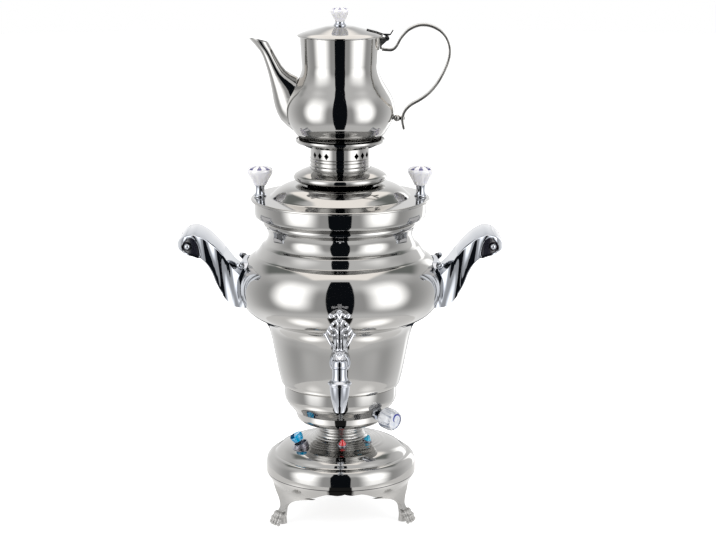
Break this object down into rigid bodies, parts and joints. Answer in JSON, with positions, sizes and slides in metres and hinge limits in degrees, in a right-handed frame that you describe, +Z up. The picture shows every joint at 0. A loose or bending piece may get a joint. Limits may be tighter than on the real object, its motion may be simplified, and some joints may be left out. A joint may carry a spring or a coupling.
{
  "type": "electric samovar",
  "caption": "Electric samovar on a claw-footed pedestal: round tank with side handles and a front tap with a pierced key, domed lid with chimney, and a teapot on its saucer.",
  "frame": {"origin": "on the ground, under the upright axis of the tank", "axes": "+Z up along the tank's axis, -Y towards the tap, +X towards the side of the teapot's handle"},
  "size_m": [0.34, 0.244, 0.54],
  "materials": {
    "polished_steel": "mirror polished stainless steel",
    "plated_casting": "bright plated casting",
    "steel": "plain",
    "brass": "plain",
    "black_paint": "satin",
    "black_plastic": "gloss",
    "rubber": "matte",
    "lead_sleeve": "satin",
    "porcelain": "glazed white",
    "moulding": "moulded",
    "dial_plastic": "gloss white",
    "dial_blue": "gloss",
    "switch_grey": "gloss",
    "switch_blue": "gloss, see-through tint",
    "red_lens": "gloss, see-through tint",
    "blue_lens": "gloss, see-through tint"
  },
  "bodies": {
    "stand": {"leg_skirt": "plated_casting", "base_dome": "polished_steel", "base_plate": "black_paint", "base_screws": "steel", "cord_grommet": "rubber", "terminal_block": "moulding", "stem_tube": "brass", "stem_nuts": "brass", "stem_leads": "lead_sleeve", "red_lamp": "red_lens", "red_lamp_bezel": "plated_casting", "blue_lamp": "blue_lens", "blue_lamp_bezel": "plated_casting", "switch_housing": "switch_grey", "heater_bowl": "polished_steel", "thermostat_body": "moulding", "thermostat_bush": "plated_casting", "thermal_cutout": "black_plastic", "cutout_clip": "steel", "tank": "polished_steel", "tank_nuts": "steel", "rim_band": "polished_steel", "heating_element": "steel", "element_nuts": "brass", "element_seals": "rubber", "handle_left": "plated_casting", "handle_right": "plated_casting", "handle_left_grip": "black_plastic", "handle_right_grip": "black_plastic", "handle_rods": "plated_casting", "handle_cap_nuts": "plated_casting", "handle_root_nuts": "plated_casting", "tap_body": "plated_casting", "tap_escutcheon": "plated_casting", "tap_seal": "rubber", "tap_nut": "brass", "tap_bonnet": "plated_casting"},
    "dial": {"thermostat_shaft": "steel", "thermostat_knob": "dial_plastic", "knob_disc": "dial_blue"},
    "rocker": {"switch_rocker": "switch_blue"},
    "tap_plug": {"tap_key": "plated_casting"},
    "lid": {"lid_shell": "polished_steel", "lid_collar": "polished_steel", "chimney": "polished_steel", "teapot_saucer": "polished_steel", "lid_knob_stems": "plated_casting", "lid_knobs": "porcelain", "lid_knob_nuts": "brass"},
    "teapot": {"pot_body": "polished_steel", "pot_spout": "polished_steel", "pot_handle": "polished_steel", "pot_handle_rivet": "polished_steel", "pot_bracket": "polished_steel", "pot_hinge_pin": "polished_steel"},
    "teapot_lid": {"pot_lid": "polished_steel", "pot_lid_leaf": "polished_steel", "pot_knob_stem": "plated_casting", "pot_knob": "porcelain"}
  },
  "joints": [
    {"name": "thermostat_turn", "type": "hinge", "parent": "stand", "child": "dial", "pos_m": [0.03834, -0.03513, 0.11851], "axis": [0.7292, -0.6682, -0.1478], "range_deg": [0, 270]},
    {"name": "switch_rock", "type": "hinge", "parent": "stand", "child": "rocker", "pos_m": [-0.04378, -0.02477, 0.08536], "axis": [-0.3331, -0.927, -0.1723], "range_deg": [-36, 0]},
    {"name": "tap_turn", "type": "hinge", "parent": "stand", "child": "tap_plug", "pos_m": [0, -0.124, 0.186], "axis": [0, 0, 1], "range_deg": [0, 90]},
    {"name": "lid_lift", "type": "slide", "parent": "stand", "child": "lid", "axis": [0, 0, 1], "range_m": [0, 0.15]},
    {"name": "teapot_lift", "type": "slide", "parent": "lid", "child": "teapot", "axis": [0, 0, 1], "range_m": [0, 0.12]},
    {"name": "teapot_lid_hinge", "type": "hinge", "parent": "teapot", "child": "teapot_lid", "pos_m": [0.048, 0, 0.5084], "axis": [0, 1, 0], "range_deg": [0, 100]}
  ]
}
